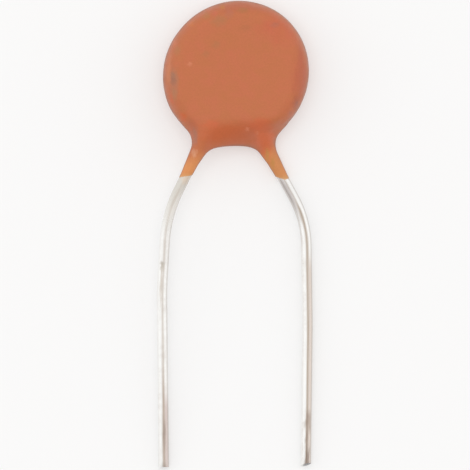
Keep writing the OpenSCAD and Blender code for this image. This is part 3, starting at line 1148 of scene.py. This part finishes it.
@dataclass
class Coat:
    """The dipped coat: one skin over the disc, the web and the two legs."""

    legs: list[Leg]
    presses: list[Press]
    node: str = "coating"
    weld: float = 0.001 * MM
    bore_share: float = 0.7
    crown: float = 0.2 * MM
    voxel: float = 0.055 * MM
    smooth_factor: float = 0.5
    smooth_rounds: int = 5
    brow: Range = (-3.2 * MM, -1.5 * MM)
    brow_z: float = 2.1 * MM
    brow_rounds: int = 30
    swell_size: float = 1.6 * MM
    swell_depth: float = 0.02 * MM
    dimple_size: float = 0.45 * MM
    dimple_depth: float = 0.006 * MM
    swell_middle: float = 0.8
    crease: float = 50.0
    piece: Object | None = None

    def build(self) -> Object:
        """Models the coat's outer skin from a copy of its solid.

        Returns:
            The coat's mesh object.
        """
        piece = bpy.data.objects.new("coat_skin", frame["nodes"][self.node].data.copy())
        bpy.context.scene.collection.objects.link(piece)
        self.piece = piece
        edit(piece)
        bpy.ops.mesh.select_all(action="SELECT")
        bpy.ops.mesh.remove_doubles(threshold=self.weld)
        self.keep_outside()
        close_openings()
        for leg in self.legs:
            leg.lengthen()
        close_edit()
        finish_modifier(piece, "dip", "REMESH", mode="VOXEL", voxel_size=self.voxel)
        finish_modifier(piece, "settle", "SMOOTH", factor=self.smooth_factor,
                        iterations=self.smooth_rounds)
        self.soften_brow()
        for press in self.presses:
            press.apply(piece)
        self.swell()
        for leg in self.legs:
            leg.cling(piece)
            leg.trim(piece)
        smooth_by_angle(piece, self.crease)
        self.note_edges()
        return piece

    def soften_brow(self) -> None:
        """Smooths the brow where the flat face turns down into the web."""
        low, high = self.brow
        edit(self.piece)
        pick_vertices(self.piece, lambda co: co.z > self.brow_z and low < co.y < high)
        bpy.ops.mesh.vertices_smooth(factor=self.smooth_factor, repeat=self.brow_rounds)
        close_edit()

    def note_edges(self) -> None:
        """Writes how steeply the skin stands: 1 where it is upright and 0 where it lies flat."""
        steep = self.piece.data.attributes.new("steep", "FLOAT", "POINT")
        for vertex in self.piece.data.vertices:
            steep.data[vertex.index].value = 1 - abs(vertex.normal.z)

    def keep_outside(self) -> None:
        """Deletes the bores round the leads, and then all that isn't joined to the outer skin."""
        pick_vertices(self.piece, lambda co: any(
            leg.lead.off_line(co) < leg.lead.wire_r + self.bore_share * leg.film
            for leg in self.legs))
        bpy.ops.mesh.delete(type="VERT")
        top = max(vertex.co.y for vertex in self.piece.data.vertices)
        pick_vertices(self.piece, lambda co: co.y > top - self.crown)
        bpy.ops.mesh.select_linked()
        bpy.ops.mesh.select_all(action="INVERT")
        bpy.ops.mesh.delete(type="VERT")

    def swell(self) -> None:
        """Gives the skin the slow swells and shallow dimples of a coat that set as it hung."""
        for name, size, depth in (("swell", self.swell_size, self.swell_depth),
                                  ("dimple", self.dimple_size, self.dimple_depth)):
            texture = bpy.data.textures.new(name, "CLOUDS")
            texture.noise_scale = size
            finish_modifier(self.piece, name, "DISPLACE", texture=texture, strength=depth,
                            mid_level=self.swell_middle, texture_coords="LOCAL")

    def dress(self, finish: Material) -> None:
        """Gives the coat its finish and sets it in place of its solid.

        Args:
            finish: The finish.
        """
        piece = self.piece
        piece.data.materials.clear()
        piece.data.materials.append(finish)
        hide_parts(self.node)
        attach(piece, ROOT)


# ---- The pieces inside ----


@dataclass
class Element:
    """The ceramic disc, its electrodes and their solder, sealed in the coat."""

    ceramic: PlainFinish = PlainFinish(
        "fired_ceramic", light=shown(214, 198, 172), dark=shown(196, 176, 146),
        rough=(0.55, 0.75), grain_size=0.04,
    )
    silver: PlainFinish = PlainFinish(
        "fired_silver", metallic=1.0, light=(0.86, 0.85, 0.82), dark=(0.74, 0.72, 0.68),
        rough=(0.35, 0.5), grain_size=0.03, patch=0.4,
    )
    solder: PlainFinish = PlainFinish(
        "solder", metallic=1.0, light=(0.72, 0.72, 0.73), dark=(0.56, 0.56, 0.58),
        rough=(0.25, 0.4), grain_size=0.08, patch=0.3,
    )

    def dress(self) -> list[Object]:
        """Gives each inner piece its finish.

        Returns:
            The dressed pieces.
        """
        wanted = {
            self.ceramic: ["ceramic_disc"],
            self.silver: ["front_electrode", "back_electrode"],
            self.solder: ["front_solder", "back_solder"],
        }
        dressed = []
        for finish, names in wanted.items():
            material = finish.material()
            for name in names:
                piece = frame["nodes"][name]
                piece.material_slots[0].material = material
                dressed.append(piece)
        return dressed


# ---- The studio ----


@dataclass
class Studio:
    """A pale floor, soft light from all round and a long lens that looks straight down.

    Along Y the sky is dim at first, brightens over the range dim_to and turns softer over the
    range far_from. Overhead it has a warm spot, whose soft edge is a range of cosines.
    """

    floor_size: float = 3.0
    floor_z: float = -0.01 * MM
    floor_colour: Colour = (0.55, 0.55, 0.55)
    floor_glow: float = 0.38
    view_width: float = 24.352 * MM
    view_centre: tuple[float, float] = (-0.050 * MM, -8.344 * MM)
    focus_z: float = 1.35 * MM
    lens: float = 800.0
    sensor: float = 36.0
    clip: Range = (0.001, 10.0)
    sky_bright: Colour = (1.04, 1.04, 1.04)
    sky_dim: Colour = (0.42, 0.39, 0.37)
    dim_to: Range = (-0.7, -0.2)
    sky_far: Colour = (0.72, 0.72, 0.72)
    far_from: Range = (0.3, 0.8)
    sky_top: Colour = (0.80, 0.75, 0.70)
    top_lean: float = math.radians(13)
    top_edge: Range = (0.93, 0.99)
    lamp_power: float = 0.95
    lamp_size: float = 0.4
    lamp_place: Place = (-0.02, 0.03, 0.6)

    def build(self) -> None:
        """Builds the floor, the light and the camera."""
        self.add_floor()
        self.add_sky()
        self.add_lamp()
        self.add_camera()
        bpy.context.scene.view_settings.view_transform = "Standard"

    def add_floor(self) -> None:
        """Adds the floor: a pale light table, lit evenly from below."""
        deselect_all()
        bpy.ops.mesh.primitive_plane_add(size=self.floor_size, location=(0, 0, self.floor_z))
        floor = bpy.context.object
        floor.name = "floor"
        graph, shader, material = Finish("pale_floor").start()
        graph.feed(shader, {
            "Base Color": (*self.floor_colour, 1.0), "Roughness": 1.0, "Specular IOR Level": 0.0,
            "Emission Color": (1.0, 1.0, 1.0, 1.0), "Emission Strength": self.floor_glow,
        })
        floor.data.materials.append(material)

    def add_sky(self) -> None:
        """Adds the light all round: dim towards the tips, and warm and softer overhead."""
        world = bpy.data.worlds.new("studio")
        bpy.context.scene.world = world
        world.use_nodes = True
        graph = Graph(world.node_tree)
        look = graph.node("ShaderNodeTexCoord").outputs["Generated"]
        back = graph.split(look)["Y"]
        colour = graph.blend(graph.span(back, *self.dim_to), self.sky_dim, self.sky_bright)
        colour = graph.blend(graph.span(back, *self.far_from), colour, self.sky_far)
        top = (math.sin(self.top_lean), 0.0, math.cos(self.top_lean))
        near = graph.vector("DOT_PRODUCT", look, top)["Value"]
        colour = graph.blend(graph.span(near, *self.top_edge), colour, self.sky_top)
        background = graph.node("ShaderNodeBackground", {"Color": colour, "Strength": 1.0})
        graph.node("ShaderNodeOutputWorld", {"Surface": background.outputs[0]})

    def add_lamp(self) -> None:
        """Adds one large soft lamp overhead, which does not show in the bright tin."""
        lamp = bpy.data.lights.new("overhead", "AREA")
        lamp.energy = self.lamp_power
        lamp.size = self.lamp_size
        holder = bpy.data.objects.new("overhead", lamp)
        place = Vector(self.lamp_place)
        holder.location = place
        holder.rotation_euler = place.to_track_quat("Z", "Y").to_euler()
        holder.visible_glossy = False
        bpy.context.scene.collection.objects.link(holder)

    def add_camera(self) -> None:
        """Adds the camera, which looks straight down."""
        data = bpy.data.cameras.new("camera")
        data.lens = self.lens
        data.sensor_width = self.sensor
        data.clip_start, data.clip_end = self.clip
        camera = bpy.data.objects.new("camera", data)
        away = self.lens / self.sensor * self.view_width
        camera.location = (*self.view_centre, self.focus_z + away)
        bpy.context.scene.collection.objects.link(camera)
        bpy.context.scene.camera = camera


# ---- This capacitor ----

COAT_TOP = 2.7
MARK_DEPTH = 1.2


def coat_mark_or_painted_light(x: float, y: float, width: float, height: float, colour: Colour,
              strength: float) -> MarkOrPaintedLight:
    """Makes a spot on the front of the coat, sized in millimetres, for marks and painted light.

    Args:
        x: Its place to the right of the disc's centre.
        y: Its place above the disc's centre.
        width: Half its width.
        height: Half its height.
        colour: Its colour.
        strength: How far it covers the coat.

    Returns:
        The spot.
    """
    return MarkOrPaintedLight((x, y, COAT_TOP), (width, height, MARK_DEPTH), colour, strength)


COAT_MARKS_AND_PAINTED_LIGHT = (
    # Painted light and shade on the web slope: a redder tone, lifted towards the right leg.
    MarkOrPaintedLight((0.0, -3.1, 2.2), (3.0, 1.05, 1.7), shown(192, 97, 55), 0.92, 0.2),
    MarkOrPaintedLight((1.5, -3.45, 1.6), (0.8, 1.3, 1.9), shown(213, 106, 62), 0.8, 0.2),
    MarkOrPaintedLight((1.68, -4.3, 1.0), (0.5, 0.7, 1.2), shown(222, 130, 80), 0.55, 0.2),
    MarkOrPaintedLight((2.1, -4.85, 1.0), (1.0, 1.5, 1.6), shown(200, 133, 80), 0.8, 0.2),
    # Painted shade on the rims: upper right and right side redder, top and lower left darker.
    coat_mark_or_painted_light(2.3, 2.6, 1.5, 1.3, shown(196, 94, 68), 0.5),
    coat_mark_or_painted_light(3.45, 0.1, 0.7, 2.7, shown(180, 90, 66), 0.6),
    coat_mark_or_painted_light(0.0, 3.6, 3.2, 0.55, shown(180, 98, 70), 0.55),
    coat_mark_or_painted_light(-2.3, -2.9, 0.5, 0.8, shown(178, 98, 74), 0.5),
    coat_mark_or_painted_light(-2.40, 2.62, 0.4, 0.25, shown(212, 120, 50), 0.4),
    coat_mark_or_painted_light(-0.72, 3.48, 0.25, 0.2, shown(192, 126, 50), 0.6),
    coat_mark_or_painted_light(-3.2, 1.7, 0.2, 0.5, shown(212, 112, 56), 0.4),
    coat_mark_or_painted_light(-3.35, -1.3, 0.25, 0.35, shown(212, 92, 56), 0.5),
    coat_mark_or_painted_light(-2.78, -2.25, 0.36, 0.34, shown(208, 96, 50), 0.6),
    coat_mark_or_painted_light(-3.2, -0.42, 0.36, 1.0, shown(164, 118, 92), 0.5),
    coat_mark_or_painted_light(-3.29, -0.12, 0.26, 0.3, shown(146, 110, 92), 0.45),
    coat_mark_or_painted_light(-3.24, -0.38, 0.26, 0.28, shown(146, 98, 80), 0.45),
    coat_mark_or_painted_light(-3.2, -1.05, 0.26, 0.45, shown(172, 120, 84), 0.5),
    # Painted light: the far left rim, lighter on the side towards the light.
    coat_mark_or_painted_light(-3.5, 0.35, 0.22, 1.2, shown(212, 136, 96), 0.45),
    coat_mark_or_painted_light(-2.38, 0.50, 0.18, 0.16, shown(216, 138, 104), 0.4),
    coat_mark_or_painted_light(-1.02, 1.50, 0.34, 0.28, shown(168, 112, 70), 0.38),
    coat_mark_or_painted_light(-1.55, 1.02, 0.3, 0.26, shown(168, 112, 70), 0.36),
    coat_mark_or_painted_light(-3.05, 1.2, 0.3, 0.34, shown(174, 120, 78), 0.45),
    coat_mark_or_painted_light(-0.85, 2.75, 0.6, 0.4, shown(168, 116, 76), 0.45),
    coat_mark_or_painted_light(-1.55, 3.0, 0.34, 0.24, shown(170, 124, 74), 0.42),
    coat_mark_or_painted_light(-1.1, 3.1, 0.26, 0.22, shown(204, 100, 84), 0.35),
    coat_mark_or_painted_light(-0.35, 3.1, 0.36, 0.34, shown(178, 108, 84), 0.45),
    coat_mark_or_painted_light(0.35, 3.28, 0.45, 0.2, shown(164, 112, 66), 0.5),
    coat_mark_or_painted_light(2.02, 2.52, 0.34, 0.2, shown(168, 104, 84), 0.45),
    coat_mark_or_painted_light(0.5, 2.35, 0.5, 0.24, shown(172, 104, 64), 0.35),
    # Painted shade on the lower right rim.
    coat_mark_or_painted_light(3.1, -1.5, 0.34, 0.5, shown(168, 88, 62), 0.5),
    # Painted shade: the redder tone where the face turns down into the web.
    coat_mark_or_painted_light(1.3, -2.6, 0.95, 0.5, shown(204, 96, 60), 0.55),
    coat_mark_or_painted_light(-1.3, -2.62, 0.6, 0.34, shown(206, 100, 62), 0.45),
    coat_mark_or_painted_light(3.16, -1.75, 0.26, 0.45, shown(142, 102, 92), 0.5),
    coat_mark_or_painted_light(2.84, -2.25, 0.3, 0.38, shown(146, 104, 92), 0.45),
    coat_mark_or_painted_light(0.58, -2.87, 0.18, 0.14, shown(218, 138, 104), 0.5),
    coat_mark_or_painted_light(1.10, -3.08, 0.16, 0.13, shown(216, 138, 104), 0.45),
    # Painted sheen: the greyish, lit left edge of the left neck.
    coat_mark_or_painted_light(-2.14, -3.25, 0.26, 0.6, shown(160, 114, 94), 0.6),
    # Painted highlight: a soft highlight on the top of the left leg.
    MarkOrPaintedLight((-2.14, -4.12, 1.8), (0.22, 0.4, 1.2), shown(226, 172, 138), 0.6),
    MarkOrPaintedLight((-2.54, -5.37, 1.0), (0.7, 0.16, 1.6), shown(222, 184, 148), 0.7),
    MarkOrPaintedLight((2.46, -5.52, 0.8), (0.7, 0.2, 1.2), shown(214, 176, 138), 0.7),
    MarkOrPaintedLight((1.62, -4.2, 1.0), (0.16, 0.5, 1.2), shown(184, 142, 76), 0.5),
    MarkOrPaintedLight((1.9, -4.6, 0.9), (0.18, 0.4, 1.2), shown(188, 138, 66), 0.5),
)

COAT_PRESSES = [
    Press((-2.95, -2.45, 1.35), (0.025, 0.02, 0.0), 0.9),
    Press((2.4, -3.0, 1.35), (0.05, -0.03, 0.0), 0.75),
    Press((-1.72, -4.32, 1.7), (0.055, -0.02, 0.0), 0.55),
    Press((1.4, -4.33, 0.8), (-0.055, -0.01, 0.0), 0.55),
]

LEFT_TIN_MARKS_AND_REFLECTIONS = (
    # Painted reflections: grey tin on the slant, a tan streak and a bright band on the right flank.
    MarkOrPaintedLight((0.0, -5.4, 0.27), (0.9, 2.9, 0.9), shown(208, 203, 194), 0.85, 0.1),
    MarkOrPaintedLight((0.02, -6.2, 0.27), (0.12, 1.6, 0.3), shown(192, 180, 168), 0.4),
    MarkOrPaintedLight((0.15, -6.7, 0.22), (0.17, 1.6, 0.4), shown(240, 236, 230), 0.6),
    MarkOrPaintedLight((0.10, -5.1, 0.27), (0.3, 0.4, 0.3), shown(224, 200, 176), 0.6),
    MarkOrPaintedLight((-0.07, -9.72, 0.27), (0.22, 0.13, 0.3), shown(208, 201, 191), 0.7),
    MarkOrPaintedLight((-0.06, -9.9, 0.27), (0.14, 0.4, 0.3), shown(196, 188, 177), 0.85),
    MarkOrPaintedLight((-0.06, -10.9, 0.27), (0.11, 1.3, 0.3), shown(206, 194, 181), 0.6),
    # Painted reflection: the darkest part of the tan streak, near the tip.
    MarkOrPaintedLight((0.05, -18.6, 0.27), (0.14, 1.0, 0.3), shown(168, 152, 142), 0.6),
)

RIGHT_PAINTED_REFLECTIONS = (
    # Painted reflections: grey slant, tan streak, grey left edge and a darker streak by the tip.
    MarkOrPaintedLight((-0.16, -5.9, 0.27), (0.36, 2.2, 0.6), shown(202, 195, 192), 0.95, 0.1),
    MarkOrPaintedLight((0.0, -7.2, 0.27), (0.13, 1.0, 0.3), shown(196, 184, 172), 0.7),
    MarkOrPaintedLight((-0.25, -7.9, 0.2), (0.08, 1.8, 0.3), shown(200, 194, 188), 0.5),
    MarkOrPaintedLight((0.10, -18.0, 0.27), (0.28, 0.8, 0.3), shown(172, 156, 144), 0.75),
    MarkOrPaintedLight((0.03, -18.9, 0.27), (0.14, 0.6, 0.3), shown(166, 150, 138), 0.6),
    MarkOrPaintedLight((0.06, -20.1, 0.27), (0.22, 1.2, 0.3), shown(150, 134, 124), 0.8),
)

LEFT_TIN = TinFinish("left_tin", matt_from=-8.0, matt_to=-6.8, marks_and_painted_light=LEFT_TIN_MARKS_AND_REFLECTIONS)

RIGHT_TIN = TinFinish(
    "right_tin", dull=shown(206, 196, 186), streak_start=0.02, streak_at=0.055, streak_from=-6.6,
    streak_to=-7.4, streak_least=0.0, stain=shown(222, 208, 198), stain_from=-9.0,
    stain_to=-10.3, shift=(5.0, 3.0, 0.0), marks_and_painted_light=RIGHT_PAINTED_REFLECTIONS,
)

CUT_CORE = PlainFinish(
    "cut_core", metallic=1.0, light=(0.36, 0.36, 0.36), dark=(0.24, 0.24, 0.25),
    rough=(0.35, 0.5), grain_size=0.03, patch=0.1,
    # Painted highlight at the left end of the right lead's cut.
    marks_and_painted_light=(MarkOrPaintedLight((3.35, -20.4, 0.27), (0.28, 0.4, 0.5), (0.9, 0.9, 0.88), 0.9),),
)


def make_leads() -> tuple[Lead, Lead]:
    """Sizes the two leads, each with its own bends and cut.

    Returns:
        The left lead and the right one.
    """
    left = Lead(
        Side.LEFT, Face.FRONT, "left_lead", aim_drop=0.0, shoulder_gap=3.53 * MM,
        shoulder_in=0.14 * MM, shoulder_r=7.0 * MM, kink_gap=7.33 * MM, kink_in=-0.09 * MM,
        tip_in=0.0, cut_slant=1.0, cut_tilt=1.0, tip_round=0.05 * MM,
        nicks=[Press((-3.85, -9.9, 1.68), (0.01, 0.0, -0.02), 0.28)],
    )
    right = Lead(
        Side.RIGHT, Face.BACK, "right_lead", aim_drop=0.95 * MM, shoulder_gap=3.76 * MM,
        shoulder_in=0.12 * MM, shoulder_r=5.4 * MM, kink_gap=9.1 * MM, kink_in=0.04 * MM,
        tip_in=0.13 * MM, cut_slant=14.0, cut_tilt=12.0, tip_round=0.015 * MM,
    )
    return left, right


def make_coat(left: Lead, right: Lead) -> Coat:
    """Sizes the coat and the leg that it has on each lead.

    Args:
        left: The left lead.
        right: The right lead.

    Returns:
        The coat.
    """
    left_leg = Leg(left, 1.5 * MM, ((-2.80, -5.34), (-2.28, -5.26)))
    right_leg = Leg(right, 1.6 * MM, ((2.06, -5.32), (2.53, -5.48), (2.74, -5.41)))
    return Coat([left_leg, right_leg], COAT_PRESSES)


def main() -> None:
    """Builds every class in order and reports each piece."""
    logging.basicConfig(level=logging.INFO, format="%(name)s: %(message)s")
    Studio().build()
    for piece in Element().dress():
        log.info("dressed %s", piece.name)
    left, right = make_leads()
    core = CUT_CORE.material()
    for lead, tin in ((left, LEFT_TIN), (right, RIGHT_TIN)):
        wire = lead.build()
        lead.dress(tin.material(), core)
        log.info("modelled %s: %d faces", wire.name, len(wire.data.polygons))
    coat = make_coat(left, right)
    skin = coat.build()
    coat.dress(CoatFinish("dipped_coat", marks_and_painted_light=COAT_MARKS_AND_PAINTED_LIGHT).material())
    log.info("modelled %s: %d faces", skin.name, len(skin.data.polygons))


if __name__ == "__main__":
    main()
